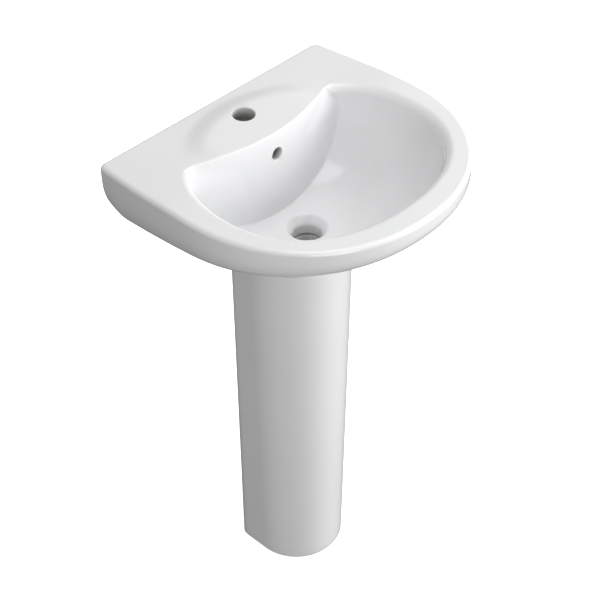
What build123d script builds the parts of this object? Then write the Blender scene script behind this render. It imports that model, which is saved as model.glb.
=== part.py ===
"""Pedestal sink: a glazed ceramic basin on a hollow ceramic pedestal, with its wall fixing kit.

Frame: millimetres, +X to the right, +Y towards the wall, +Z up. The origin is on the floor, on the
middle plane, halfway between the front rim and the ends of the wall plugs. Places named here in plan
are measured from the basin's back face: Y is 0 there and negative towards the front.
"""

from build123d import *
import os
from math import cos, pi, sin, sqrt

os.makedirs("parts", exist_ok=True)

# Driving dimensions of the whole sink.
RIM_Z = 835.0  # height of the front rim above the floor
HALF_WIDTH = 241.0  # widest half of the basin
DEPTH = 436.0  # back face to front rim

# Basin outline in plan.
BACK_HALF = 231.0  # half width at the back face
BACK_TRIM = 2.0  # the body is drawn this much too deep, then cut flat at the back
WIDEST_Y = -190.0  # where the sides stop and the rounded front begins
FRONT_POWER = 2.15  # superellipse power of the rounded front
FRONT_SPANS = 6
DECK_DROP = 8.0  # the back edge lies this far below the rim
DECK_DROP_FROM_Y = -150.0

# Apron, the band under the rim.
APRON_FRONT = 53.0
APRON_BACK = 112.0
APRON_STRAIGHT = 0.25
APRON_ROLL = 46.0
APRON_POWER = 2.4
APRON_STATIONS = (0.25, 0.45, 0.62, 0.76, 0.87, 0.94, 0.98, 1.0)
RIM_ROLL_R = 8.0

# Bowl: a superellipse in plan that shrinks with depth, cut off at the back by the tap deck.
BOWL_HALF_WIDTH = 195.0
BOWL_HALF_DEPTH = 164.0
BOWL_CENTRE_Y = -225.0
BOWL_POWER = 2.25
BOWL_DEPTH = 152.0
BOWL_SHIFT = 24.0  # the centre moves back by this much on the way down to the drain
BOWL_STATIONS = (0.0, 0.2, 0.4, 0.6, 0.77, 0.9, 0.965)
BOWL_FLOOR_LIFT = 5.0  # the flat floor around the waste lies this far above BOWL_DEPTH
SHELL = 12.0  # thickness of the bowl's wall

# Tap deck: a lens between two arcs, raised a little above the back of the basin.
RIDGE_Y = -137.0  # front arc at the middle
RIDGE_R = 322.0
LENS_BACK_Y = -27.0  # rear arc at the middle
LENS_BACK_R = 172.0
LENS_BACK_RISE = 3.0
LENS_FRONT_DROP = 1.5
DECK_THICK = 16.0
SIDE_WALL = 18.0
HOLLOW_FRONT_Y = -118.0  # the space under the deck ends here beside the bowl

# Holes for the tap, the overflow and the waste.
TAP_HOLE_D = 35.0
TAP_Y = -69.0
OVERFLOW_D = 21.0
OVERFLOW_DROP = 38.0
DUCT_HALF = 14.0
DUCT_GAP = 10.0
DUCT_WALL = 10.0
DUCT_TOP = 26.0
DUCT_BOTTOM = 178.0
DRAIN_D = 45.0
DRAIN_Y = -201.0
DRAIN_SINK_D = 65.0
DRAIN_SINK_DEPTH = 7.0
DRAIN_BOSS_R = 36.0
DRAIN_BOSS_BOTTOM = 194.0

# Pedestal: a round-fronted column, open at the back.
PEDESTAL_CENTRE_Y = -169.5
PEDESTAL_FOOT_Y = -177.5
PEDESTAL_FOOT_R = 80.0
PEDESTAL_FOOT_BACK = 64.5
PEDESTAL_FOOT_CORNER_R = 20.0
PEDESTAL_TOP_R = 94.0
PEDESTAL_TOP_BACK = 45.5
PEDESTAL_WALL = 14.0
PEDESTAL_SLOT_HALF = 44.0
PEDESTAL_CORNER_R = 10.0
SEAL_THICK = 3.0
SEAL_INSET = 2.0
COLLAR_DROP = 178.0
COLLAR_MARGIN = 9.0
COLLAR_HEIGHT = 60.0
PEDESTAL_HEIGHT = RIM_Z - COLLAR_DROP - SEAL_THICK
LUG_SIZE = (32.0, 36.0, 14.0)
LUG_X = 52.0
LUG_Y = -142.0
FLOOR_HOLE_D = 9.0

# Wall fixings.
WALL_BOLT_X = 140.0
WALL_BOLT_Z = RIM_Z - 76.0
WALL_HOLE_D = 14.0
BOLT_D = 10.0
BOLT_SCREW_D = 8.0
BOLT_OUT = 30.0
BOLT_IN = 44.0
PLUG_D = 12.0
PLUG_LENGTH = 46.0
PLUG_TIP = 14.0  # the plug ends in a solid, slightly thinner tip
PLUG_TIP_D = 11.0
PLUG_SLIT = 1.6
PLUG_SLIT_END = 28.0
PLUG_SLIT_LENGTH = 22.0
BUSH_FLANGE_D = 28.0
BUSH_FLANGE = 3.0
WASHER_D = 30.0
WASHER_THICK = 2.5
NUT_ACROSS = 17.0
NUT_THICK = 8.0
RUNNING_GAP = 0.2

BACK_Y = (DEPTH - PLUG_LENGTH) / 2
SIDE_PLANE = Plane(origin=(0, BACK_Y, 0), x_dir=(0, 1, 0), z_dir=(1, 0, 0))


def level(z):
    """The horizontal plane at a height, with its origin below the basin's back face."""
    return Plane(origin=(0, BACK_Y, z))


def superellipse(half_x, half_y, centre_y, power, angles):
    """Points of a superellipse at the given angles, measured from +X."""
    points = []
    for angle in angles:
        c, s = cos(angle), sin(angle)
        x = half_x * abs(c) ** (2 / power) * (1 if c >= 0 else -1)
        y = half_y * abs(s) ** (2 / power) * (1 if s >= 0 else -1)
        points.append((x, centre_y + y))
    return points


def draw_basin_outline(inset=0.0, stretch=1.0):
    """The basin in plan: straight back, gently bowed sides, rounded front."""
    half = HALF_WIDTH - inset
    back_half = BACK_HALF - inset
    side = (half + back_half) / 2 + (HALF_WIDTH - BACK_HALF) / 4
    half_y = -(DEPTH - inset + WIDEST_Y)
    angles = [pi / 2 * i / FRONT_SPANS for i in range(FRONT_SPANS)]
    right = superellipse(half, half_y, WIDEST_Y, FRONT_POWER, angles)
    right = [(x, y * stretch) for x, y in right + [(0, WIDEST_Y + half_y)]]
    left = [(-x, y) for x, y in reversed(right)]
    widest_y = WIDEST_Y * stretch
    Line((-back_half, BACK_TRIM), (back_half, BACK_TRIM))
    ThreePointArc((back_half, BACK_TRIM), (side, widest_y / 2), (half, widest_y))
    Spline(*right, tangents=[(0, -1), (-1, 0)])
    Spline(*left, tangents=[(-1, 0), (0, 1)])
    ThreePointArc((-half, widest_y), (-side, widest_y / 2), (-back_half, BACK_TRIM))


def apron_plane(fraction):
    """The leaning plane across the apron at a fraction of its height."""
    slope = (APRON_BACK - APRON_FRONT) * fraction / DEPTH
    return Plane(
        origin=(0, BACK_Y, RIM_Z - APRON_BACK * fraction),
        x_dir=(1, 0, 0),
        z_dir=(0, slope, 1),
    )


def apron_inset(fraction):
    """How far the apron has rolled under at a fraction of its height."""
    rolled = max(0.0, (fraction - APRON_STRAIGHT) / (1 - APRON_STRAIGHT))
    return APRON_ROLL * (1 - (1 - rolled**APRON_POWER) ** (1 / APRON_POWER))


def draw_pedestal_outline(radius, back):
    """Round front and straight sides that end `back` behind the centre."""
    yc = PEDESTAL_CENTRE_Y
    ThreePointArc((-radius, yc), (0, yc - radius), (radius, yc))
    Polyline((radius, yc), (radius, yc + back), (-radius, yc + back), (-radius, yc))


def draw_deck_front(mid_y, radius):
    """Everything in front of an arc that bulges forward to mid_y."""
    x = 0.8 * radius
    y = mid_y + radius - sqrt(radius**2 - x**2)
    ThreePointArc((-x, y), (0, mid_y), (x, y))
    Polyline((x, y), (x, -2 * DEPTH), (-x, -2 * DEPTH), (-x, y))


def bowl_scale(fraction):
    """Size of the bowl's section at a fraction of its depth."""
    return (1 - fraction**2.4) ** (1 / 2.1)


def bowl_solid(margin, drop):
    """The bowl's space, or the shell's outside when a margin is given."""
    with BuildPart() as solid:
        for fraction in BOWL_STATIONS:
            scale = bowl_scale(fraction)
            depth = BOWL_DEPTH * fraction + drop
            centre = BOWL_CENTRE_Y + BOWL_SHIFT * fraction
            with BuildSketch(level(RIM_Z - depth)):
                with BuildLine():
                    points = superellipse(
                        BOWL_HALF_WIDTH * scale + margin,
                        BOWL_HALF_DEPTH * scale + margin,
                        centre,
                        BOWL_POWER,
                        [pi / 12 * i for i in range(24)],
                    )
                    Spline(*points, periodic=True)
                make_face()
        loft()
        with BuildSketch(level(RIM_Z + 50)):
            with BuildLine():
                draw_deck_front(RIDGE_Y + margin, RIDGE_R - margin)
            make_face()
        extrude(amount=-400, mode=Mode.INTERSECT)
    return solid.part


bowl_space = bowl_solid(0.0, 0.0)
bowl_outside = bowl_solid(SHELL, SHELL)

# The lens-shaped tap deck, with a top that leans forward.
with BuildPart() as tap_deck:
    with BuildSketch(level(RIM_Z - DECK_THICK)):
        with Locations((0, LENS_BACK_Y - LENS_BACK_R)):
            Circle(LENS_BACK_R)
        with BuildLine():
            draw_deck_front(RIDGE_Y, RIDGE_R)
        make_face(mode=Mode.SUBTRACT)
    extrude(amount=2 * DECK_THICK)
    with BuildSketch(SIDE_PLANE):
        with BuildLine():
            front_z = RIM_Z - LENS_FRONT_DROP
            back_z = RIM_Z + LENS_BACK_RISE
            Polyline(
                (RIDGE_Y, front_z),
                (LENS_BACK_Y, back_z),
                (0, back_z),
                (0, 0),
                (-DEPTH, 0),
                (-DEPTH, front_z),
                close=True,
            )
        make_face()
    extrude(amount=HALF_WIDTH, both=True, mode=Mode.INTERSECT)

# The outer body: rim, apron and back wall, with the tap deck on it.
with BuildPart() as outer_body:
    for stations in ((0.0, APRON_STRAIGHT), APRON_STATIONS):
        for fraction in stations:
            slope = (APRON_BACK - APRON_FRONT) * fraction / DEPTH
            with BuildSketch(apron_plane(fraction)):
                with BuildLine():
                    draw_basin_outline(apron_inset(fraction), sqrt(1 + slope**2))
                make_face()
        loft()
    with Locations((0, BACK_Y, RIM_Z)):
        Box(
            4 * HALF_WIDTH,
            DEPTH,
            4 * APRON_BACK,
            align=(Align.CENTER, Align.MIN, Align.CENTER),
            mode=Mode.SUBTRACT,
        )
    with BuildSketch(SIDE_PLANE):
        with BuildLine():
            Polyline(
                (DECK_DROP_FROM_Y, RIM_Z),
                (DECK_DROP_FROM_Y, RIM_Z + DECK_DROP),
                (-DECK_DROP_FROM_Y, RIM_Z + DECK_DROP),
                (-DECK_DROP_FROM_Y, RIM_Z - 2 * DECK_DROP),
                close=True,
            )
        make_face()
    extrude(amount=2 * HALF_WIDTH, both=True, mode=Mode.SUBTRACT)
    top_faces = outer_body.faces().filter_by(lambda f: f.normal_at().Z > 0.9)
    bend = outer_body.edges().filter_by(Axis.X)
    bend = bend.filter_by(lambda e: abs(e.center().Y - BACK_Y - DECK_DROP_FROM_Y) < 1)
    fillet(top_faces.edges() - bend, RIM_ROLL_R)
    add(tap_deck.part)

# The space under the tap deck, open below.
with BuildPart() as deck_hollow:
    with BuildSketch(level(RIM_Z - 2 * APRON_BACK)):
        with BuildLine():
            draw_basin_outline(SIDE_WALL)
        make_face()
        with Locations((0, HOLLOW_FRONT_Y - DEPTH)):
            Rectangle(4 * HALF_WIDTH, 2 * DEPTH, mode=Mode.SUBTRACT)
        Rectangle(4 * HALF_WIDTH, 2 * SIDE_WALL, mode=Mode.SUBTRACT)
    extrude(amount=2 * APRON_BACK - DECK_THICK)

# The basin, one casting.
with BuildPart() as basin:
    add(outer_body.part)
    add(deck_hollow.part, mode=Mode.SUBTRACT)
    add(bowl_outside)

    # The collar that stands on the pedestal.
    with BuildSketch(level(RIM_Z - COLLAR_DROP)):
        with BuildLine():
            draw_pedestal_outline(
                PEDESTAL_TOP_R + COLLAR_MARGIN, PEDESTAL_TOP_BACK + COLLAR_MARGIN
            )
        make_face()
    extrude(amount=COLLAR_HEIGHT)
    with BuildSketch(level(RIM_Z - COLLAR_DROP)):
        with BuildLine():
            draw_pedestal_outline(
                PEDESTAL_TOP_R - PEDESTAL_WALL, PEDESTAL_TOP_BACK - PEDESTAL_WALL
            )
        make_face()
    extrude(amount=COLLAR_DROP - BOWL_DEPTH - SHELL, mode=Mode.SUBTRACT)

    # The overflow duct's outside, down the back of the bowl and under its floor.
    duct_half = DUCT_HALF + DUCT_WALL
    duct_back = RIDGE_Y + SHELL + DUCT_GAP + DUCT_WALL
    duct_top = RIM_Z - DECK_THICK
    with Locations((0, BACK_Y + (RIDGE_Y + duct_back) / 2, duct_top)):
        Box(
            2 * duct_half,
            duct_back - RIDGE_Y,
            duct_top - RIM_Z + DUCT_BOTTOM + DUCT_WALL,
            align=(Align.CENTER, Align.CENTER, Align.MAX),
        )
    with Locations((0, BACK_Y + (DRAIN_Y + duct_back) / 2, RIM_Z - DUCT_BOTTOM - DUCT_WALL)):
        Box(
            2 * duct_half,
            duct_back - DRAIN_Y,
            DUCT_GAP + 2 * DUCT_WALL,
            align=(Align.CENTER, Align.CENTER, Align.MIN),
        )

    # The drain boss.
    with BuildSketch(level(RIM_Z - DRAIN_BOSS_BOTTOM)):
        with Locations((0, DRAIN_Y)):
            Circle(DRAIN_BOSS_R)
    extrude(amount=DRAIN_BOSS_BOTTOM - BOWL_DEPTH)

    add(bowl_space, mode=Mode.SUBTRACT)

    # The waste hole with its sunk seat.
    with Locations((0, BACK_Y + DRAIN_Y, RIM_Z)):
        Cylinder(
            DRAIN_D / 2,
            2 * DRAIN_BOSS_BOTTOM,
            mode=Mode.SUBTRACT,
        )
    with Locations((0, BACK_Y + DRAIN_Y, RIM_Z - BOWL_DEPTH + BOWL_FLOOR_LIFT)):
        Cone(
            DRAIN_D / 2,
            DRAIN_SINK_D / 2,
            DRAIN_SINK_DEPTH,
            align=(Align.CENTER, Align.CENTER, Align.MAX),
            mode=Mode.SUBTRACT,
        )

    # The overflow: a hole, the duct down and the passage into the waste hole.
    with Locations((0, BACK_Y + RIDGE_Y + SHELL, RIM_Z - OVERFLOW_DROP)):
        Cylinder(OVERFLOW_D / 2, 2 * SHELL, rotation=(90, 0, 0), mode=Mode.SUBTRACT)
    with Locations((0, BACK_Y + RIDGE_Y + SHELL + DUCT_GAP / 2, RIM_Z - DUCT_TOP)):
        Box(
            2 * DUCT_HALF,
            DUCT_GAP,
            DUCT_BOTTOM - DUCT_TOP,
            align=(Align.CENTER, Align.CENTER, Align.MAX),
            mode=Mode.SUBTRACT,
        )
    passage_back = RIDGE_Y + SHELL + DUCT_GAP
    with Locations((0, BACK_Y + (passage_back + DRAIN_Y) / 2, RIM_Z - DUCT_BOTTOM)):
        Box(
            2 * DUCT_HALF,
            passage_back - DRAIN_Y,
            DUCT_GAP,
            align=(Align.CENTER, Align.CENTER, Align.MIN),
            mode=Mode.SUBTRACT,
        )

    # The tap hole and the two fixing holes in the back wall.
    with Locations((0, BACK_Y + TAP_Y, RIM_Z)):
        Cylinder(TAP_HOLE_D / 2, 4 * DECK_THICK, mode=Mode.SUBTRACT)
    with Locations((-WALL_BOLT_X, BACK_Y, WALL_BOLT_Z), (WALL_BOLT_X, BACK_Y, WALL_BOLT_Z)):
        Cylinder(WALL_HOLE_D / 2, 4 * SIDE_WALL, rotation=(90, 0, 0), mode=Mode.SUBTRACT)

basin.part.label = "basin"
export_step(basin.part, "parts/basin.step")


def draw_pedestal_wall(yc, radius, back, corner_r, inset=0.0):
    """The pedestal's wall in plan: round front, straight sides and two lips at the back."""
    outer = radius - inset
    inner = radius - PEDESTAL_WALL + inset
    lip = yc + back - inset
    lip_inside = yc + back - PEDESTAL_WALL + inset
    corner = corner_r - inset
    slot = PEDESTAL_SLOT_HALF + inset
    cut = corner * (1 - sqrt(0.5))
    Line((slot, lip), (outer - corner, lip))
    ThreePointArc((outer - corner, lip), (outer - cut, lip - cut), (outer, lip - corner))
    Line((outer, lip - corner), (outer, yc))
    ThreePointArc((outer, yc), (0, yc - outer), (-outer, yc))
    Line((-outer, yc), (-outer, lip - corner))
    ThreePointArc((-outer, lip - corner), (-outer + cut, lip - cut), (-outer + corner, lip))
    Polyline(
        (-outer + corner, lip),
        (-slot, lip),
        (-slot, lip_inside),
        (-inner, lip_inside),
        (-inner, yc),
    )
    ThreePointArc((-inner, yc), (0, yc - inner), (inner, yc))
    Polyline((inner, yc), (inner, lip_inside), (slot, lip_inside), (slot, lip))


# The pedestal: a tapered column, open at the top and down the back.
with BuildPart() as pedestal:
    with BuildSketch(level(0)):
        with BuildLine():
            draw_pedestal_wall(
                PEDESTAL_FOOT_Y,
                PEDESTAL_FOOT_R,
                PEDESTAL_FOOT_BACK,
                PEDESTAL_FOOT_CORNER_R,
            )
        make_face()
    with BuildSketch(level(PEDESTAL_HEIGHT)):
        with BuildLine():
            draw_pedestal_wall(
                PEDESTAL_CENTRE_Y,
                PEDESTAL_TOP_R,
                PEDESTAL_TOP_BACK,
                PEDESTAL_CORNER_R,
            )
        make_face()
    loft(ruled=True)
    with Locations((-LUG_X, BACK_Y + LUG_Y, 0), (LUG_X, BACK_Y + LUG_Y, 0)):
        Box(*LUG_SIZE, align=(Align.CENTER, Align.CENTER, Align.MIN))
        Cylinder(FLOOR_HOLE_D / 2, 4 * LUG_SIZE[2], mode=Mode.SUBTRACT)

pedestal.part.label = "pedestal"
export_step(pedestal.part, "parts/pedestal.step")

# The rubber seal between the pedestal and the collar.
with BuildPart() as pedestal_seal:
    with BuildSketch(level(PEDESTAL_HEIGHT)):
        with BuildLine():
            draw_pedestal_wall(
                PEDESTAL_CENTRE_Y,
                PEDESTAL_TOP_R,
                PEDESTAL_TOP_BACK,
                PEDESTAL_CORNER_R,
                SEAL_INSET,
            )
        make_face()
    extrude(amount=SEAL_THICK)

pedestal_seal.part.label = "pedestal_seal"
export_step(pedestal_seal.part, "parts/pedestal_seal.step")


def at_bolt(x, y):
    """A plane across one wall bolt, facing the front, at a distance from the back face."""
    return Plane(origin=(x, BACK_Y + y, WALL_BOLT_Z), x_dir=(1, 0, 0), z_dir=(0, -1, 0))


def make_wall_kit(side, x):
    """Plug, bolt, bush, washer and nut on one side, stacked from the wall inwards."""
    with BuildPart() as plug:
        with BuildSketch(at_bolt(x, PLUG_LENGTH)):
            Circle(PLUG_TIP_D / 2)
        extrude(amount=PLUG_LENGTH)
        with BuildSketch(at_bolt(x, PLUG_LENGTH - PLUG_TIP)):
            Circle(PLUG_D / 2)
        extrude(amount=PLUG_LENGTH - PLUG_TIP)
        with BuildSketch(at_bolt(x, PLUG_LENGTH - PLUG_TIP)):
            Circle(BOLT_SCREW_D / 2 + RUNNING_GAP)
        extrude(amount=PLUG_LENGTH, mode=Mode.SUBTRACT)
        with BuildSketch(at_bolt(x, PLUG_SLIT_END)):
            Rectangle(PLUG_SLIT, 2 * PLUG_D)
        extrude(amount=PLUG_SLIT_LENGTH, mode=Mode.SUBTRACT)
    plug.part.label = f"{side}_wall_plug"

    with BuildPart() as bolt:
        with BuildSketch(at_bolt(x, BOLT_OUT)):
            Circle(BOLT_SCREW_D / 2)
        extrude(amount=BOLT_OUT)
        chamfer(bolt.faces().sort_by(Axis.Y)[-1].edges(), BOLT_SCREW_D / 2 - 1)
        with BuildSketch(at_bolt(x, -RUNNING_GAP)):
            Circle(BOLT_D / 2)
        extrude(amount=BOLT_IN)
        with BuildSketch(at_bolt(x, 0)):
            Circle(BOLT_SCREW_D / 2)
        extrude(amount=RUNNING_GAP)
        chamfer(bolt.faces().sort_by(Axis.Y)[0].edges(), 1)
    bolt.part.label = f"{side}_wall_bolt"

    with BuildPart() as bush:
        with BuildSketch(at_bolt(x, -RUNNING_GAP)):
            Circle(WALL_HOLE_D / 2 - RUNNING_GAP)
        extrude(amount=SIDE_WALL)
        with BuildSketch(at_bolt(x, -SIDE_WALL)):
            Circle(BUSH_FLANGE_D / 2)
        extrude(amount=BUSH_FLANGE)
        with BuildSketch(at_bolt(x, 0)):
            Circle(BOLT_D / 2 + RUNNING_GAP)
        extrude(amount=2 * SIDE_WALL, mode=Mode.SUBTRACT)
    bush.part.label = f"{side}_wall_bush"

    washer_y = -SIDE_WALL - BUSH_FLANGE
    with BuildPart() as washer:
        with BuildSketch(at_bolt(x, washer_y)):
            Circle(WASHER_D / 2)
            Circle(BOLT_D / 2 + RUNNING_GAP, mode=Mode.SUBTRACT)
        extrude(amount=WASHER_THICK)
    washer.part.label = f"{side}_wall_washer"

    with BuildPart() as nut:
        with BuildSketch(at_bolt(x, washer_y - WASHER_THICK)):
            RegularPolygon(NUT_ACROSS / 2, 6, major_radius=False)
            Circle(BOLT_D / 2 + RUNNING_GAP, mode=Mode.SUBTRACT)
        extrude(amount=NUT_THICK)
        chamfer(nut.faces().sort_by(Axis.Y)[0].outer_wire().edges(), 0.8)
    nut.part.label = f"{side}_wall_nut"

    for piece in (plug.part, bolt.part, bush.part, washer.part, nut.part):
        export_step(piece, f"parts/{piece.label}.step")


make_wall_kit("left", -WALL_BOLT_X)
make_wall_kit("right", WALL_BOLT_X)
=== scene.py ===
"""Looks of the pedestal sink: a glazed china basin on a hollow pedestal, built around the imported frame.

Shapes are worked out in millimetres from the basin's back face (Y 0, negative to the front) and the
plane of its front rim (Z 0), then moved into the row frame.
"""

import math

import bmesh
import bpy
import numpy as np
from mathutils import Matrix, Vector


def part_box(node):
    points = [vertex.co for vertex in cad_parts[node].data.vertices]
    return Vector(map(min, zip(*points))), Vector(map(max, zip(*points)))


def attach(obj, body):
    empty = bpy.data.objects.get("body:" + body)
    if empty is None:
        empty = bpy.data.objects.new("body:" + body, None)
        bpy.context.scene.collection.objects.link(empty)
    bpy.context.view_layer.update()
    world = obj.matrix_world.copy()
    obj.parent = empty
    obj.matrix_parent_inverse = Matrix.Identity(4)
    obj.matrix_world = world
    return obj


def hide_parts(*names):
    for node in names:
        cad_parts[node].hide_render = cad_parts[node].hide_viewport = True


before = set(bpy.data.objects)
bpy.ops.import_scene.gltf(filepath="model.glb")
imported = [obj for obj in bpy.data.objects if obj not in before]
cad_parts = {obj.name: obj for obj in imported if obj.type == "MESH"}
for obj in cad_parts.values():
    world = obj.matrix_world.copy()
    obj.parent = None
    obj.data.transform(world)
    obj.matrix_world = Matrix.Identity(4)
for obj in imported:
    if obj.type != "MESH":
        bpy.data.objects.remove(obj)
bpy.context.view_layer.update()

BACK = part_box("basin")[1].y  # the basin's back face
LENS_RISE = 0.003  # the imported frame's tap deck stands this far over its rim
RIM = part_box("basin")[1].z - LENS_RISE
FLOOR_Z = -1000 * RIM  # the floor in working millimetres

# Plan of the basin.
HALF_WIDTH, BACK_HALF, DEPTH = 241.0, 231.0, 436.0
WIDEST_Y, BOW_R, CORNER_R = -190.0, 1810.0, 12.0
FRONT_POWER = 2.15
RIM_ROLL = 7.0

# Apron.
APRON_FRONT, APRON_BACK = 53.0, 112.0
APRON_STRAIGHT, APRON_ROLL, APRON_POWER = 0.25, 60.0, 2.7
# The roll's inset at the apron's foot, and how much less it is by the wall.
APRON_ROLL_END, APRON_ROLL_SHORTER = 42.0, 30.0
# The apron's lower corner next to the wall is rounded off.
HEEL_RISE, HEEL_LENGTH, HEEL_BACK, HEEL_POWER = 50.0, 45.0, 150.0, 2.3

# Bowl.
BOWL_A, BOWL_B, BOWL_Y, BOWL_POWER = 195.0, 164.0, -225.0, 2.25
BOWL_DEPTH, BOWL_SHIFT, BOWL_FLOOR_R = 152.0, 24.0, 172.0
PROFILE_SIDE, PROFILE_DOWN = 2.1, 2.4  # powers of the bowl's profile
RIDGE_LEAN, RIDGE_LEAN_DEPTH = 8.0, 110.0  # the back wall comes forward by this over this depth
RIDGE_Y, RIDGE_R, RIDGE_END = -137.0, 322.0, 120.0
LENS_BACK_Y, LENS_BACK_R = -27.0, 172.0
LENS_CORNER = (143.0, -103.5)
LENS_FRONT_Z, LENS_BACK_Z = -1.5, 2.0
LENS_END_DROP, LENS_END_X, LENS_END_SPAN = 4.0, 85.0, 55.0  # the lens sinks flush at its ends
LEDGE_FRONT_Z, LEDGE_FALL = -4.2, 2.2
# The wing is a plane through the lens corner, the back corner and the rim beside the bowl.
WING = ((*LENS_CORNER, LEDGE_FRONT_Z), (226.0, -10.0, -7.8), (240.0, -158.0, 0.0))
DECK_BLEND = 1.6
SIDE_ROLL, RIDGE_ROLL = 12.0, 3.2
CORNER_BLEND, CORNER_FROM, CORNER_SPAN = 90.0, math.radians(22), math.radians(26)
FLOOR_BLEND, FLOOR_LIFT = 8.0, 6.0
BOWL_END = 0.2  # the bowl's scale where the waste seat begins
SHELL = 9.0

# Steps of the basin's mesh.
APRON_STEPS, RIM_STEPS, DECK_STEPS, LIP_STEPS, BOWL_STEPS, WEB_STEPS = 26, 9, 56, 11, 84, 26

# Holes.
TAP_Y, TAP_R = -69.0, 17.5
OVERFLOW_Z, OVERFLOW_R = -38.0, 10.5
DRAIN_Y, DRAIN_R = -201.0, 22.5
GROOVE_R, GROOVE_LOW, GROOVE_HIGH = 27.5, -178.0, -173.5
DUCT_HALF, DUCT_FRONT, DUCT_BACK, DUCT_LOW, DUCT_HIGH = 14.0, -128.0, -118.0, -95.0, -26.0
BOSS_R, BOSS_Z = 36.0, -194.0
BOLT_X, BOLT_Z, WALL_HOLE_R = 140.0, -76.0, 7.0
HOLE_EDGE = 1.6  # rounding of the tap and overflow mouths

# Hollow under the deck.
HOLLOW_LOW, HOLLOW_HIGH, HOLLOW_TAPER, HOLLOW_ROUND = -240.0, -18.5, 24.0, 12.0
TAPER_DEPTH = 90.0
HOLLOW_FRONT, HOLLOW_BACK, HOLLOW_WALL = -111.0, -30.0, 14.0
HOLLOW_BEND_X, HOLLOW_FRONT_X, HOLLOW_BACK_X = 145.0, 190.0, 192.0
HOLLOW_FRONT_CORNER, HOLLOW_BACK_CORNER = 14.0, 12.0

# Pedestal.
COLUMN_Y, COLLAR_Z = -169.5, -178.0
COLLAR_R, COLLAR_BACK, COLLAR_CEILING = 103.0, 54.5, -164.0
FOOT_Y, FOOT_R, FOOT_BACK, FOOT_CORNER = -177.5, 80.0, 64.5, 20.0
TOP_R, TOP_BACK, TOP_CORNER = 94.0, 45.5, 10.0
COLUMN_WALL, SLOT_HALF, SEAL_THICK = 14.0, 44.0, 3.0
FOOT_ROUND, TOP_ROUND = 3.0, 2.5
LUG_X, LUG_Y, LUG_SIZE, FLOOR_HOLE_R = 52.0, -142.0, (32.0, 36.0, 14.0), 4.5


def row(points):
    """Working millimetres to the row frame's metres."""
    p = np.asarray(points, float) / 1000
    return p + np.array([0.0, BACK, RIM])


def smooth(t):
    t = np.clip(t, 0, 1)
    return t * t * (3 - 2 * t)


def soft_min(a, b, k):
    h = np.clip(0.5 + 0.5 * (b - a) / k, 0, 1)
    return b + (a - b) * h - k * h * (1 - h)


def soft_max(a, b, k):
    return -soft_min(-a, -b, k)


def outline(inset=0.0):
    """The basin in plan as a closed ring of points, from the middle of the back round to the right."""
    back_half = BACK_HALF - inset
    half = HALF_WIDTH - inset

    def side_x(y):
        return half - (BOW_R - np.sqrt(BOW_R**2 - (y - WIDEST_Y) ** 2))

    x = np.linspace(0, back_half - CORNER_R, 72, endpoint=False)
    pts = [np.stack([x, 0 * x], 1)]
    a = np.linspace(0, np.pi / 2, 10, endpoint=False)
    x0 = back_half - CORNER_R
    x1 = side_x(-CORNER_R)
    pts.append(np.stack([x0 + (x1 - x0) * np.sin(a), CORNER_R * (np.cos(a) - 1)], 1))
    y = np.concatenate([np.linspace(-CORNER_R, -75, 46, endpoint=False),
                        np.linspace(-75, WIDEST_Y, 42, endpoint=False)])
    pts.append(np.stack([side_x(y), y], 1))
    a = np.linspace(0, np.pi / 2, 112)
    b = DEPTH + WIDEST_Y - inset
    x = half * np.cos(a) ** (2 / FRONT_POWER)
    y = WIDEST_Y - b * np.sin(a) ** (2 / FRONT_POWER)
    x[-1] = 0
    pts.append(np.stack([x, y], 1))
    right = np.concatenate(pts)
    left = right[-2:0:-1] * np.array([-1, 1])
    return np.concatenate([right, left])


EDGE = outline()
SHRINK = EDGE - outline(1.0)  # how each point moves in for one millimetre of inset
COUNT = len(EDGE)
SPOKE = EDGE - np.array([0, BOWL_Y])
SPOKE = SPOKE / np.linalg.norm(SPOKE, axis=1)[:, None]


def ring_normals(ring):
    """Outward normals of a closed ring that runs clockwise seen from above."""
    t = np.roll(ring, -1, 0) - np.roll(ring, 1, 0)
    n = np.stack([-t[:, 1], t[:, 0]], 1)
    return n / np.linalg.norm(n, axis=1)[:, None]


def even_out(values, times):
    """Each value of a closed ring averaged with its neighbours, so that a sharp turn fans out."""
    for _ in range(times):
        values = (np.roll(values, 1, 0) + 2 * values + np.roll(values, -1, 0)) / 4
    return values / np.linalg.norm(values, axis=1)[:, None]


def ridge_reach(centre_y, back):
    """Distance along each spoke from a centre to the ridge, moved forward by `back`.

    The ridge is an arc that runs on straight past RIDGE_END.
    """
    across, along = np.abs(SPOKE[:, 0]), SPOKE[:, 1]
    cy = RIDGE_Y - back + RIDGE_R - centre_y
    b = along * cy
    under = b * b - cy * cy + RIDGE_R**2
    hit = (along > 0) & (under > 0)
    near = b - np.sqrt(np.where(hit, under, 1))
    drop = math.sqrt(RIDGE_R**2 - RIDGE_END**2)
    slope = RIDGE_END / drop
    rest = cy - drop - slope * RIDGE_END
    steep = along - slope * across
    straight = np.where(steep > 0.02, rest / np.maximum(steep, 0.02), 1e4)
    return np.where(hit & (near * across < RIDGE_END), near, straight)


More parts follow.
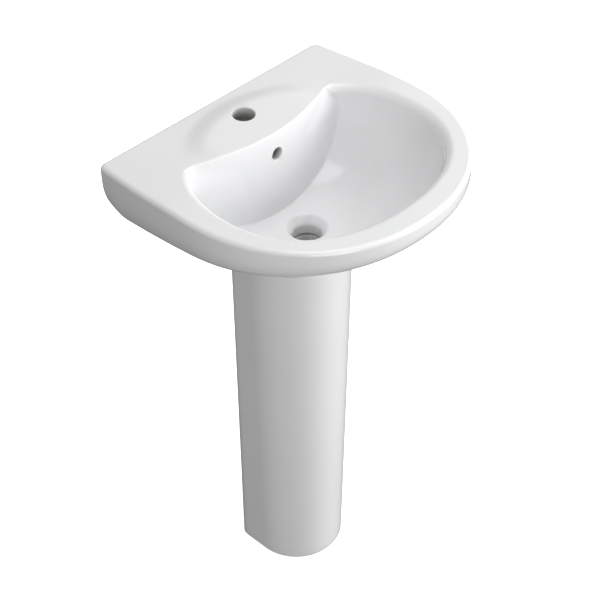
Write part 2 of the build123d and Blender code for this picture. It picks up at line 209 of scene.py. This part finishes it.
def bowl_ring(s, f, margin=0.0):
    """The bowl's section where its scale is s and its share of the depth is f."""
    s, f = np.broadcast_to(s, COUNT), np.broadcast_to(f, COUNT)
    centre = BOWL_Y + BOWL_SHIFT * f
    w = smooth((0.5 - s) / 0.3)
    a = s * (BOWL_A * (1 - w) + BOWL_FLOOR_R * w) + margin
    b = s * (BOWL_B * (1 - w) + BOWL_FLOOR_R * w) + margin
    p = BOWL_POWER * (1 - w) + 2 * w
    c, d = np.abs(SPOKE[:, 0]), np.abs(SPOKE[:, 1])
    r = ((c / a) ** p + (d / b) ** p) ** (-1 / p)
    wall = ridge_reach(centre, RIDGE_LEAN * f * BOWL_DEPTH / RIDGE_LEAN_DEPTH) + margin
    # The corner between the side and back walls opens out below the rim and closes toward the floor.
    turn = np.arctan2(c, SPOKE[:, 1])
    beside = smooth((turn - CORNER_FROM) / CORNER_SPAN)
    blend = CORNER_BLEND * beside * smooth(f / 0.3) * smooth((s - 0.55) / 0.4)
    r = soft_min(r, wall, FLOOR_BLEND + blend)
    return np.stack([SPOKE[:, 0] * r, centre + SPOKE[:, 1] * r], 1)


def deck_height(x, y):
    """Height of the top surface: rim plane, falling rear wings, rear ledge and the raised lens."""
    ax = np.abs(x)
    t = np.clip((y - LENS_CORNER[1]) / -LENS_CORNER[1], -0.6, 1)
    ledge = LEDGE_FRONT_Z - LEDGE_FALL * t
    p0, p1, p2 = (np.array(p) for p in WING)
    n = np.cross(p1 - p0, p2 - p0)
    wing = p0[2] - ((ax - p0[0]) * n[0] + (y - p0[1]) * n[1]) / n[2]
    z = soft_max(ledge, wing, DECK_BLEND)
    z = soft_min(z, 0 * z, DECK_BLEND)
    z = np.where(y < -165, soft_min(z, 0 * z, 0.5) * smooth((y + 200) / 35), z)
    lens = LENS_FRONT_Z + (LENS_BACK_Z - LENS_FRONT_Z) * (y - RIDGE_Y) / (LENS_BACK_Y - RIDGE_Y)
    lens = lens - LENS_END_DROP * smooth((ax - LENS_END_X) / LENS_END_SPAN)
    inside = LENS_BACK_R - np.hypot(x, y - (LENS_BACK_Y - LENS_BACK_R))
    front = RIDGE_Y + RIDGE_R - np.sqrt(RIDGE_R**2 - np.minimum(ax, 300) ** 2)
    on = smooth((inside + 14) / 42) * smooth((y - front + 14) / 12)
    return z + (lens - z) * on


def face_rings(rows):
    """Quads between rings of equal length."""
    faces = []
    for i in range(len(rows) - 1):
        a, b = i * COUNT, (i + 1) * COUNT
        for k in range(COUNT):
            m = (k + 1) % COUNT
            faces.append((a + k, a + m, b + m, b + k))
    return faces


def make_mesh(name, verts, faces, material):
    mesh = bpy.data.meshes.new(name)
    mesh.from_pydata([tuple(v) for v in verts], [], faces)
    mesh.materials.append(material)
    bm = bmesh.new()
    bm.from_mesh(mesh)
    bmesh.ops.remove_doubles(bm, verts=bm.verts, dist=1e-6)
    bmesh.ops.recalc_face_normals(bm, faces=bm.faces)
    for f in bm.faces:
        f.smooth = True
    bm.to_mesh(mesh)
    bm.free()
    obj = bpy.data.objects.new(name, mesh)
    bpy.context.scene.collection.objects.link(obj)
    return obj


def with_z(ring, z):
    return np.concatenate([ring, np.broadcast_to(z, COUNT)[:, None]], 1)


def d_ring(radius, back, centre=COLUMN_Y, corner=8.0):
    """A D-shaped ring: round in front, straight sides, flat back, met along the spokes."""
    c, s = SPOKE[:, 0], SPOKE[:, 1]
    r_front = np.full(COUNT, radius)
    with np.errstate(divide="ignore"):
        r_side = np.where(s > 0, radius / np.maximum(np.abs(c), 1e-9), 1e4)
        r_back = np.where(s > 0, back / np.maximum(s, 1e-9), 1e4)
    r = np.where(s > 0, soft_min(np.minimum(r_side, 1e4), r_back, corner), r_front)
    return np.stack([c * r, centre + s * r], 1)


def apron_rows():
    """The apron's rings from its top end down to its foot, and the depth their heights are shares of."""
    x, y = EDGE[:, 0], EDGE[:, 1]
    at_back = y > -0.01
    depth = APRON_FRONT + (APRON_BACK - APRON_FRONT) * (DEPTH + y) / DEPTH
    along_side = np.clip((y + HEEL_LENGTH) / HEEL_LENGTH, 0, 1)
    along_back = np.clip((np.abs(x) - BACK_HALF + CORNER_R + HEEL_BACK) / HEEL_BACK, 0, 1)
    heel = np.where(at_back, along_back, along_side)
    depth = depth - HEEL_RISE * heel**HEEL_POWER

    # The roll stops where it meets the bowl's outside, and sooner by the wall.
    near_wall = np.where(at_back, 1.0, smooth(along_side))
    end = APRON_ROLL_END - APRON_ROLL_SHORTER * near_wall
    q_end = (1 - (1 - end / APRON_ROLL) ** APRON_POWER) ** (1 / APRON_POWER)
    reach = depth * (1 + near_wall * (1 / (APRON_STRAIGHT + (1 - APRON_STRAIGHT) * q_end) - 1))
    rings = []
    for t in np.sin(np.linspace(0, np.pi / 2, APRON_STEPS)):
        inset = APRON_ROLL * (1 - (1 - (q_end * t) ** APRON_POWER) ** (1 / APRON_POWER))
        share = APRON_STRAIGHT + (1 - APRON_STRAIGHT) * q_end * t
        rings.append(with_z(EDGE - SHRINK * inset[:, None], -reach * share))
    return rings, reach


def rim_rows(reach):
    """From the apron's top end over the rounded rim."""
    normals = ring_normals(EDGE)
    top = deck_height(*(EDGE - normals * RIM_ROLL).T)
    start = -reach * APRON_STRAIGHT
    rings = []
    for t in (0.3, 0.6):
        rings.append(with_z(EDGE, start + (top - RIM_ROLL - start) * t))
    for a in np.linspace(0, np.pi / 2, RIM_STEPS):
        ring = EDGE - normals * RIM_ROLL * (1 - math.cos(a))
        height = deck_height(ring[:, 0], ring[:, 1]) - RIM_ROLL * (1 - math.sin(a))
        rings.append(with_z(ring, height))
    return rings


def deck_rows(rim_in):
    """The top surface from the rim to the bowl, and the rounded lip into the bowl."""
    edge = bowl_ring(1.0, 0.0)
    inward = even_out(ring_normals(edge), 4)
    ridge = ridge_reach(np.full(COUNT, BOWL_Y), 0.0)
    across, along = np.abs(SPOKE[:, 0]), np.abs(SPOKE[:, 1])
    side = ((across / BOWL_A) ** BOWL_POWER + (along / BOWL_B) ** BOWL_POWER) ** (-1 / BOWL_POWER)
    on_ridge = smooth((side - ridge + 34) / 34)
    roll = SIDE_ROLL + (RIDGE_ROLL - SIDE_ROLL) * on_ridge
    bowl_out = edge + inward * roll[:, None]
    rings = []
    for t in np.linspace(0, 1, DECK_STEPS)[1:]:
        ring = rim_in + (bowl_out - rim_in) * t
        rings.append(with_z(ring, deck_height(ring[:, 0], ring[:, 1])))
    for a in np.linspace(0, np.pi / 2, LIP_STEPS)[1:]:
        ring = edge + inward * (roll * (1 - math.sin(a)))[:, None]
        rings.append(with_z(ring, deck_height(ring[:, 0], ring[:, 1]) - roll * (1 - math.cos(a))))
    return rings


def bowl_rows(lip):
    """Down the bowl from its lip to the waste seat."""
    first = np.arcsin(np.clip(-lip[:, 2] / BOWL_DEPTH, 1e-4, 1) ** 1.2)
    last = np.arccos(BOWL_END ** 1.05)
    rings = []
    for t in np.linspace(0, 1, BOWL_STEPS)[1:]:
        psi = first + (last - first) * t
        s, f = np.cos(psi) ** (2 / PROFILE_SIDE), np.sin(psi) ** (2 / PROFILE_DOWN)
        rings.append(with_z(bowl_ring(s, f), -BOWL_DEPTH * f + FLOOR_LIFT * smooth((0.6 - s) / 0.4)))
    return rings


def waste_rows(floor):
    """The sunk seat, the waste bore and the outside of its boss."""
    rings = []

    def circle(r, z):
        rings.append(with_z(SPOKE * r + np.array([0, DRAIN_Y]), z))

    # The seat is a cone whose lip and foot are rounded: (radius, drop) in two curves.
    upper = np.array([(33.8, 0.1), (31.5, 0.6), (27.5, 5.6)])
    lower = np.array([(27.5, 5.6), (23.2, 10.8), (DRAIN_R, 14.5)])
    for points in (upper, lower):
        for t in np.linspace(0, 1, 9)[1:]:
            r, drop = np.array([(1 - t) ** 2, 2 * t * (1 - t), t * t]) @ points
            circle(r, floor - drop)
    for z in np.linspace(floor - 17.5, BOSS_Z + 2.5, 12):
        circle(DRAIN_R, z)
    for r, rise in ((DRAIN_R + 0.7, 1), (DRAIN_R + 2.4, 0)):
        circle(r, BOSS_Z + rise)
    for r, rise in ((BOSS_R - 3, 0), (BOSS_R - 0.9, 0.9), (BOSS_R, 3)):
        circle(r, BOSS_Z + rise)
    for z in (-184, -175, -168, -165.5):
        circle(BOSS_R, z)
    circle(BOSS_R + 1.2, COLLAR_CEILING)
    return rings


def collar_rows(boss):
    """The collar's ceiling, inside, foot and outside."""
    inner = d_ring(TOP_R - COLUMN_WALL, TOP_BACK - COLUMN_WALL)
    rings = []
    for t in (0.3, 0.6, 0.88):
        rings.append(with_z(boss * (1 - t) + inner * t, COLLAR_CEILING))
    for drop in (0, 3, 9, 12.5):
        rings.append(with_z(inner, COLLAR_CEILING - drop))
    rings.append(with_z(d_ring(TOP_R - COLUMN_WALL + 1.5, TOP_BACK - COLUMN_WALL + 1.5), COLLAR_Z))
    rings.append(with_z(d_ring(COLLAR_R - 3, COLLAR_BACK - 3), COLLAR_Z))
    rings.append(with_z(d_ring(COLLAR_R - 0.8, COLLAR_BACK - 0.8), COLLAR_Z + 0.8))
    for rise in (3, 9, 16, 22):
        rings.append(with_z(d_ring(COLLAR_R, COLLAR_BACK), COLLAR_Z + rise))
    return rings


def underside_rows(collar_top, foot):
    """A curve from the collar's top to the apron's foot, drawn toward two rings round the bowl."""

    def outside(share):
        f = np.full(COUNT, share)
        s = (1 - f**PROFILE_DOWN) ** (1 / PROFILE_SIDE)
        return with_z(bowl_ring(s, f, SHELL), -BOWL_DEPTH * share - SHELL)

    lip = foot.copy()
    lip[:, :2] -= ring_normals(EDGE) * (5 * smooth((EDGE[:, 1] + 60) / 40))[:, None]
    a, b, c, d = collar_top, outside(0.78), outside(0.58), lip
    rings = []
    for t in np.linspace(0, 1, WEB_STEPS)[1:]:
        w0, w1, w2, w3 = (1 - t) ** 3, 3 * t * (1 - t) ** 2, 3 * t * t * (1 - t), t**3
        rings.append(w0 * a + w1 * b + w2 * c + w3 * d)
    return rings


def basin_rows():
    """Every ring of the basin, from the apron's foot over the rim and down the bowl, and back outside."""
    apron, reach = apron_rows()
    rows = apron[::-1] + rim_rows(reach)
    rows += deck_rows(rows[-1][:, :2])
    rows += bowl_rows(rows[-1])
    rows += waste_rows(rows[-1][:, 2].mean())
    rows += collar_rows(rows[-1][:, :2])
    rows += underside_rows(rows[-1], apron[-1])
    return rows


def modifier_boolean(obj, other, operation="DIFFERENCE"):
    """Cut or join, each face keeping its own material."""
    mod = obj.modifiers.new("boolean", "BOOLEAN")
    mod.operation = operation
    mod.solver = "EXACT"
    mod.material_mode = "TRANSFER"
    mod.object = other


def bake_booleans(obj, helpers):
    """Apply the booleans and remove the helper solids."""
    dg = bpy.context.evaluated_depsgraph_get()
    mesh = bpy.data.meshes.new_from_object(obj.evaluated_get(dg))
    obj.modifiers.clear()
    old = obj.data
    obj.data = mesh
    bpy.data.meshes.remove(old)
    for helper in helpers:
        bpy.data.objects.remove(helper)


def lathe(name, profile, axis, centre, material, steps=72):
    """A turned solid: profile is (radius, height) pairs, on an axis through centre (working mm)."""
    verts, faces = [], []
    axis = Vector(axis).normalized()
    side = axis.orthogonal().normalized()
    other = axis.cross(side)
    for r, h in profile:
        for i in range(steps):
            a = 2 * math.pi * i / steps
            p = Vector(centre) + axis * h + (side * math.cos(a) + other * math.sin(a)) * r
            verts.append(p)
    n = len(profile)
    for j in range(n - 1):
        for i in range(steps):
            k = (i + 1) % steps
            faces.append((j * steps + i, j * steps + k, (j + 1) * steps + k, (j + 1) * steps + i))
    if profile[0][0] > 1e-6:
        faces.append(tuple(reversed(range(steps))))
    if profile[-1][0] > 1e-6:
        faces.append(tuple(range((n - 1) * steps, n * steps)))
    return make_mesh(name, row([tuple(v) for v in verts]), faces, material)


def flare(radius, edge, depth, steps=7):
    """Profile of a hole cutter whose mouth is rounded by `edge`; height 0 is the surface."""
    out = [(radius, -depth)]
    for i in range(steps + 1):
        a = math.pi / 2 * i / steps
        out.append((radius + edge * (1 - math.cos(a)), -edge * (1 - math.sin(a))))
    out.append((radius + edge, 25))
    return out


def block(name, low, high, material, corner=2.0, steps=4):
    """A box with rounded upright edges between two corners (working mm)."""
    ring = []
    spots = ((high[0], high[1], 0), (low[0], high[1], 1), (low[0], low[1], 2), (high[0], low[1], 3))
    for x, y, turn in spots:
        a = (turn + np.linspace(0, 1, steps)) * math.pi / 2
        cx = x - corner * (1 if turn in (0, 3) else -1)
        cy = y - corner * (1 if turn in (0, 1) else -1)
        ring += list(zip(cx + corner * np.cos(a), cy + corner * np.sin(a)))
    n = len(ring)
    verts = [(x, y, z) for z in (low[2], high[2]) for x, y in ring]
    faces = [(i, (i + 1) % n, n + (i + 1) % n, n + i) for i in range(n)]
    faces += [tuple(reversed(range(n))), tuple(range(n, 2 * n))]
    return make_mesh(name, row(verts), faces, material)


def prism(name, ring, z0, z1, material, shrink, rounding, steps=5):
    """A plug with a rounded top edge, whose ends draw in by `shrink` over TAPER_DEPTH downward."""
    ring = np.asarray(ring, float)
    n = len(ring)
    verts, faces = [], []
    levels = [(0.0, z0), (0.0, z1 - TAPER_DEPTH), (0.0, z1 - 50), (0.0, z1 - rounding)]
    for i in range(1, steps + 1):
        a = math.pi / 2 * i / steps
        levels.append((rounding * (1 - math.cos(a)), z1 - rounding * (1 - math.sin(a))))
    centre = (ring.min(0) + ring.max(0)) / 2
    half = (ring.max(0) - ring.min(0)) / 2
    for inset, z in levels:
        narrow = np.array([inset + min(shrink, shrink * (z1 - z) / TAPER_DEPTH), inset])
        r = centre + (ring - centre) * (1 - narrow / half)
        verts += [(p[0], p[1], z) for p in r]
    for j in range(len(levels) - 1):
        for i in range(n):
            k = (i + 1) % n
            faces.append((j * n + i, j * n + k, (j + 1) * n + k, (j + 1) * n + i))
    faces.append(tuple(reversed(range(n))))
    faces.append(tuple(range((len(levels) - 1) * n, len(levels) * n)))
    return make_mesh(name, row(verts), faces, material)


# ---------------------------------------------------------------- materials


def nodes_of(material):
    material.use_nodes = True
    tree = material.node_tree
    shader = next(n for n in tree.nodes if n.type == "BSDF_PRINCIPLED")
    return tree, shader


def noise(tree, scale, detail=3.0, rough=0.5):
    coords = tree.nodes.new("ShaderNodeTexCoord")
    node = tree.nodes.new("ShaderNodeTexNoise")
    node.inputs["Scale"].default_value = scale
    node.inputs["Detail"].default_value = detail
    node.inputs["Roughness"].default_value = rough
    tree.links.new(coords.outputs["Object"], node.inputs["Vector"])
    return node


def ramp(tree, source, low, high, stops=(0.3, 0.7)):
    node = tree.nodes.new("ShaderNodeValToRGB")
    node.color_ramp.elements[0].position = stops[0]
    node.color_ramp.elements[1].position = stops[1]
    node.color_ramp.elements[0].color = (*low, 1)
    node.color_ramp.elements[1].color = (*high, 1)
    tree.links.new(source, node.inputs["Fac"])
    return node


def bump(tree, shader, source, strength, distance):
    node = tree.nodes.new("ShaderNodeBump")
    node.inputs["Strength"].default_value = strength
    node.inputs["Distance"].default_value = distance
    tree.links.new(source, node.inputs["Height"])
    tree.links.new(node.outputs["Normal"], shader.inputs["Normal"])


def china(name="china"):
    material = bpy.data.materials.new(name)
    tree, shader = nodes_of(material)
    cloud = noise(tree, 6.0, 2.0)
    tone = ramp(tree, cloud.outputs["Fac"], (0.845, 0.848, 0.856), (0.868, 0.870, 0.876))
    tree.links.new(tone.outputs["Color"], shader.inputs["Base Color"])
    gloss = noise(tree, 14.0, 3.0)
    rough = ramp(tree, gloss.outputs["Fac"], (0.10, 0.10, 0.10), (0.16, 0.16, 0.16))
    tree.links.new(rough.outputs["Color"], shader.inputs["Roughness"])
    shader.inputs["IOR"].default_value = 1.52
    shader.inputs["Specular IOR Level"].default_value = 0.5
    peel = noise(tree, 55.0, 2.0, 0.4)
    bump(tree, shader, peel.outputs["Fac"], 0.05, 0.0006)
    return material


def bisque(name="bisque"):
    material = bpy.data.materials.new(name)
    tree, shader = nodes_of(material)
    grain = noise(tree, 420.0, 5.0, 0.65)
    tone = ramp(tree, grain.outputs["Fac"], (0.62, 0.61, 0.59), (0.76, 0.755, 0.74))
    tree.links.new(tone.outputs["Color"], shader.inputs["Base Color"])
    shader.inputs["Roughness"].default_value = 0.85
    bump(tree, shader, grain.outputs["Fac"], 0.5, 0.0004)
    return material


def plastic(name, low, high, roughness):
    material = bpy.data.materials.new(name)
    tree, shader = nodes_of(material)
    cloud = noise(tree, 90.0, 3.0)
    tone = ramp(tree, cloud.outputs["Fac"], low, high)
    tree.links.new(tone.outputs["Color"], shader.inputs["Base Color"])
    shader.inputs["Roughness"].default_value = roughness
    grain = noise(tree, 900.0, 2.0)
    bump(tree, shader, grain.outputs["Fac"], 0.25, 0.0002)
    return material


def plated(name="plated_steel"):
    material = bpy.data.materials.new(name)
    tree, shader = nodes_of(material)
    cloud = noise(tree, 160.0, 4.0, 0.6)
    tone = ramp(tree, cloud.outputs["Fac"], (0.60, 0.61, 0.63), (0.76, 0.76, 0.75))
    tree.links.new(tone.outputs["Color"], shader.inputs["Base Color"])
    rough = ramp(tree, cloud.outputs["Fac"], (0.22, 0.22, 0.22), (0.42, 0.42, 0.42))
    tree.links.new(rough.outputs["Color"], shader.inputs["Roughness"])
    shader.inputs["Metallic"].default_value = 1.0
    bump(tree, shader, cloud.outputs["Fac"], 0.15, 0.0002)
    return material


GLAZE = china()
RAW = bisque()
SEAL = plastic("seal_rubber", (0.66, 0.66, 0.65), (0.74, 0.74, 0.73), 0.7)
NYLON = plastic("nylon_plug", (0.50, 0.51, 0.53), (0.58, 0.59, 0.61), 0.5)
WHITE = plastic("white_plastic", (0.80, 0.80, 0.78), (0.87, 0.87, 0.85), 0.38)
STEEL = plated()

# ---------------------------------------------------------------- basin


def hollow_plan():
    """The hollow under the deck in plan: straight in front, then along the ridge, with round corners."""
    xs = np.linspace(-HOLLOW_BEND_X, HOLLOW_BEND_X, 41)
    ridge_y = RIDGE_Y + RIDGE_R - np.sqrt(RIDGE_R**2 - xs**2)
    front_y = np.maximum(ridge_y + HOLLOW_WALL, HOLLOW_FRONT)
    left_y, right_y = front_y[0], front_y[-1]
    x0, x1 = HOLLOW_FRONT_X, HOLLOW_BACK_X
    c0, c1 = HOLLOW_FRONT_CORNER, HOLLOW_BACK_CORNER
    arc = np.linspace(0, math.pi / 2, 6)
    ring = [(-x0, left_y)] + list(zip(xs, front_y)) + [(x0, right_y)]
    ring += [(x0 + c0 * math.sin(a), right_y + c0 - c0 * math.cos(a)) for a in arc[1:]]
    ring += [(x1 + c1 * math.cos(a), HOLLOW_BACK + c1 * math.sin(a)) for a in arc]
    ring += [(-x1 - c1 * math.sin(a), HOLLOW_BACK + c1 * math.cos(a)) for a in arc]
    ring += [(-x0 - c0 * math.cos(a), left_y + c0 - c0 * math.sin(a)) for a in arc[:-1]]
    return ring


def basin_cutters():
    """The solids cut out of the basin: its holes, groove and duct, and the hollow under the deck."""
    lean = math.atan2(LENS_BACK_Z - LENS_FRONT_Z, LENS_BACK_Y - RIDGE_Y)
    tap = (0, TAP_Y, LENS_FRONT_Z + math.tan(lean) * (TAP_Y - RIDGE_Y))
    tap_axis = (0, -math.sin(lean), math.cos(lean))
    overflow = (0, RIDGE_Y - 2.8, OVERFLOW_Z)
    groove = [(GROOVE_R, GROOVE_LOW), (GROOVE_R, GROOVE_HIGH)]
    duct_low, duct_high = (-DUCT_HALF, DUCT_FRONT, DUCT_LOW), (DUCT_HALF, DUCT_BACK, DUCT_HIGH)
    cutters = [
        lathe("cut_tap", flare(TAP_R, HOLE_EDGE, 60), tap_axis, tap, RAW),
        lathe("cut_overflow", flare(OVERFLOW_R, HOLE_EDGE, 13), (0, -1, 0), overflow, GLAZE, 48),
        lathe("cut_groove", groove, (0, 0, 1), (0, DRAIN_Y, 0), RAW),
        block("cut_duct", duct_low, duct_high, RAW),
    ]
    for side in (-1, 1):
        bolt_hole = [(WALL_HOLE_R, -30), (WALL_HOLE_R, 30)]
        place = (side * BOLT_X, -5, BOLT_Z)
        cutters.append(lathe(f"cut_bolt{side}", bolt_hole, (0, 1, 0), place, RAW, 40))
    plan = hollow_plan()
    cutters.append(prism("cut_hollow", plan, HOLLOW_LOW, HOLLOW_HIGH, RAW, HOLLOW_TAPER, HOLLOW_ROUND))
    return cutters


def make_basin():
    rows = basin_rows()
    total = len(rows) * COUNT
    faces = [tuple(i % total for i in face) for face in face_rings(rows + [rows[0]])]
    china_basin = make_mesh("basin_china", row(np.concatenate(rows)), faces, GLAZE)
    china_basin.data.materials.append(RAW)
    cutters = basin_cutters()
    for cutter in cutters:
        modifier_boolean(china_basin, cutter)
    bake_booleans(china_basin, cutters)
    return china_basin


basin = make_basin()

# ---------------------------------------------------------------- pedestal


def column_ring(centre, radius, back, corner_r, out=0.0, inn=0.0):
    """Outer path and inner path of the pedestal's section, with equal numbers of points."""
    r, ri = radius - out, radius - COLUMN_WALL + inn
    end, end_in = back - out, back - COLUMN_WALL + inn
    corner, inner_corner = corner_r - out, 5.0
    lip = SLOT_HALF + out
    turn = np.linspace(0, math.pi / 2, 9)

    def half(rad, stop, cr, lip_x):
        pts = [(lip_x, stop)]
        pts += list(zip(np.linspace(lip_x, rad - cr, 5)[1:-1], [stop] * 3))
        pts += [(rad - cr + cr * math.sin(a), stop - cr + cr * math.cos(a)) for a in turn]
        pts += [(rad, y) for y in np.linspace(stop - cr, 0, 7)[1:-1]]
        pts += [(rad * math.cos(a), -rad * math.sin(a)) for a in np.linspace(0, math.pi / 2, 49)]
        return pts

    outer = half(r, end, corner, lip)
    inner = half(ri, end_in, inner_corner, lip)
    whole = [np.array(p + [(-x, y) for x, y in p[-2::-1]]) for p in (outer, inner)]
    return [w + np.array([0, centre]) for w in whole]


def make_pedestal():
    """The column: a closed ring of its wall's section, carried up from the rounded foot to the top."""
    top_z = COLLAR_Z - SEAL_THICK
    levels = []
    for a in np.linspace(0, math.pi / 2, 6):
        levels.append((FLOOR_Z + FOOT_ROUND * (1 - math.cos(a)), FOOT_ROUND * (1 - math.sin(a))))
    levels += [(z, 0.0) for z in np.linspace(FLOOR_Z + FOOT_ROUND, top_z - TOP_ROUND, 40)[1:]]
    for a in np.linspace(0, math.pi / 2, 5)[1:]:
        levels.append((top_z - TOP_ROUND * (1 - math.sin(a)), TOP_ROUND * (1 - math.cos(a))))
    verts, faces = [], []
    for z, inset in levels:
        t = (z - FLOOR_Z) / (top_z - FLOOR_Z)
        foot, top = (FOOT_Y, FOOT_R, FOOT_BACK, FOOT_CORNER), (COLUMN_Y, TOP_R, TOP_BACK, TOP_CORNER)
        section = [a + (b - a) * t for a, b in zip(foot, top)]
        outer, inner = column_ring(*section, inset, min(inset, 1.0))
        loop = np.concatenate([outer, inner[::-1]])
        count = len(loop)
        verts += [(p[0], p[1], z) for p in loop]
    for j in range(len(levels) - 1):
        for i in range(count):
            k = (i + 1) % count
            faces.append((j * count + i, j * count + k, (j + 1) * count + k, (j + 1) * count + i))
    half = count // 2
    last = (len(levels) - 1) * count
    for i in range(half - 1):
        a, b, c, d = i, i + 1, count - 2 - i, count - 1 - i
        faces.append((a, b, c, d))
        faces.append((last + d, last + c, last + b, last + a))
    return make_mesh("pedestal_china", row(verts), faces, GLAZE)


def add_lugs(column):
    """Two lugs inside the foot take the floor screws."""
    helpers = []
    for side in (-1, 1):
        low = (side * LUG_X - LUG_SIZE[0] / 2, LUG_Y - LUG_SIZE[1] / 2, FLOOR_Z)
        high = tuple(v + d for v, d in zip(low, LUG_SIZE))
        lug = block(f"lug{side}", low, high, RAW, 3.0)
        bore = [(FLOOR_HOLE_R, -5), (FLOOR_HOLE_R, LUG_SIZE[2] + 5)]
        place = (side * LUG_X, LUG_Y, FLOOR_Z)
        hole = lathe(f"floor_hole{side}", bore, (0, 0, 1), place, RAW, 36)
        modifier_boolean(column, lug, "UNION")
        modifier_boolean(column, hole)
        helpers += [lug, hole]
    bake_booleans(column, helpers)


pedestal = make_pedestal()
pedestal.data.materials.append(RAW)
add_lugs(pedestal)

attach(basin, "root")
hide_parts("basin")
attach(pedestal, "root")
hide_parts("pedestal")

# Carried-over frame pieces get their finish.
for name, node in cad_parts.items():
    if name in ("basin", "pedestal"):
        continue
    finish = SEAL if name == "pedestal_seal" else STEEL
    if name.endswith("plug"):
        finish = NYLON
    if name.endswith("bush"):
        finish = WHITE
    node.data.materials.clear()
    node.data.materials.append(finish)

# ---------------------------------------------------------------- stage, light and camera

FLOOR_HALF, FLOOR_DROP, FLOOR_GLOW = 8.0, 0.0005, 0.9
SKY_STRENGTH = 0.37
LAMP_DISTANCE, LAMP_SIZE = 3.0, 1.8
LAMP_MIDDLE_Y, LAMP_MIDDLE_Z, LAMP_AIM_Z = -0.2, 0.7, 0.6
LENS_MM, SENSOR_MM = 99.0, 36.0
CAMERA_AZIMUTH, CAMERA_ELEVATION, CAMERA_PLACE = -46.55, 40.75, (-1438.5, -1548.8, 1408.1)

floor_material = bpy.data.materials.new("floor")
_, shader = nodes_of(floor_material)
shader.inputs["Base Color"].default_value = (0.93, 0.93, 0.93, 1)
shader.inputs["Roughness"].default_value = 0.9
shader.inputs["Specular IOR Level"].default_value = 0.1
shader.inputs["Emission Color"].default_value = (1, 1, 1, 1)
shader.inputs["Emission Strength"].default_value = FLOOR_GLOW
corners = ((-1, -1), (1, -1), (1, 1), (-1, 1))
floor_corners = [(x * FLOOR_HALF, y * FLOOR_HALF, -FLOOR_DROP) for x, y in corners]
floor = make_mesh("floor", floor_corners, [(0, 1, 2, 3)], floor_material)
# The white floor neither fills the shaded side nor shows in the glaze.
floor.visible_diffuse = False
floor.visible_glossy = False

world = bpy.data.worlds.new("studio")
bpy.context.scene.world = world
world.use_nodes = True
# The sky is bright above and falls off to a darker ground.
tree = world.node_tree
direction = tree.nodes.new("ShaderNodeTexCoord")
height = tree.nodes.new("ShaderNodeSeparateXYZ")
tree.links.new(direction.outputs["Generated"], height.inputs["Vector"])
share = tree.nodes.new("ShaderNodeMapRange")
share.inputs["From Min"].default_value = -0.5
share.inputs["From Max"].default_value = 0.5
tree.links.new(height.outputs["Z"], share.inputs["Value"])
sky = ramp(tree, share.outputs["Result"], (0.45, 0.45, 0.45), (1, 1, 1), (0.1, 0.8))
tree.links.new(sky.outputs["Color"], tree.nodes["Background"].inputs["Color"])
tree.nodes["Background"].inputs["Strength"].default_value = SKY_STRENGTH


def softbox(name, azimuth, elevation, power):
    """A square soft lamp aimed at the object; azimuth 0 is in front and 90 on the right."""
    a, e = math.radians(azimuth), math.radians(elevation)
    reach = LAMP_DISTANCE * math.cos(e)
    data = bpy.data.lights.new(name, "AREA")
    data.size = LAMP_SIZE
    data.energy = power
    lamp = bpy.data.objects.new(name, data)
    height = LAMP_MIDDLE_Z + LAMP_DISTANCE * math.sin(e)
    lamp.location = (reach * math.sin(a), LAMP_MIDDLE_Y - reach * math.cos(a), height)
    lamp.rotation_mode = "QUATERNION"
    lamp.rotation_quaternion = (Vector((0, 0, LAMP_AIM_Z)) - lamp.location).to_track_quat("-Z", "Y")
    bpy.context.scene.collection.objects.link(lamp)


softbox("top", 0, 90, 26)
softbox("high_right", 90, 50, 18)
softbox("low_front", -30, 12, 38)
softbox("low_right", 54, 12, 80)

camera_data = bpy.data.cameras.new("camera")
camera_data.lens = LENS_MM
camera_data.sensor_width = SENSOR_MM
camera = bpy.data.objects.new("camera", camera_data)
bpy.context.scene.collection.objects.link(camera)
azimuth, elevation = math.radians(CAMERA_AZIMUTH), math.radians(CAMERA_ELEVATION)
back = Vector((math.sin(azimuth) * math.cos(elevation), -math.cos(azimuth) * math.cos(elevation),
               math.sin(elevation)))
camera.location = Vector(row(CAMERA_PLACE))
camera.rotation_mode = "QUATERNION"
camera.rotation_quaternion = (-back).to_track_quat("-Z", "Y")
bpy.context.scene.camera = camera
bpy.context.scene.view_settings.view_transform = "Standard"
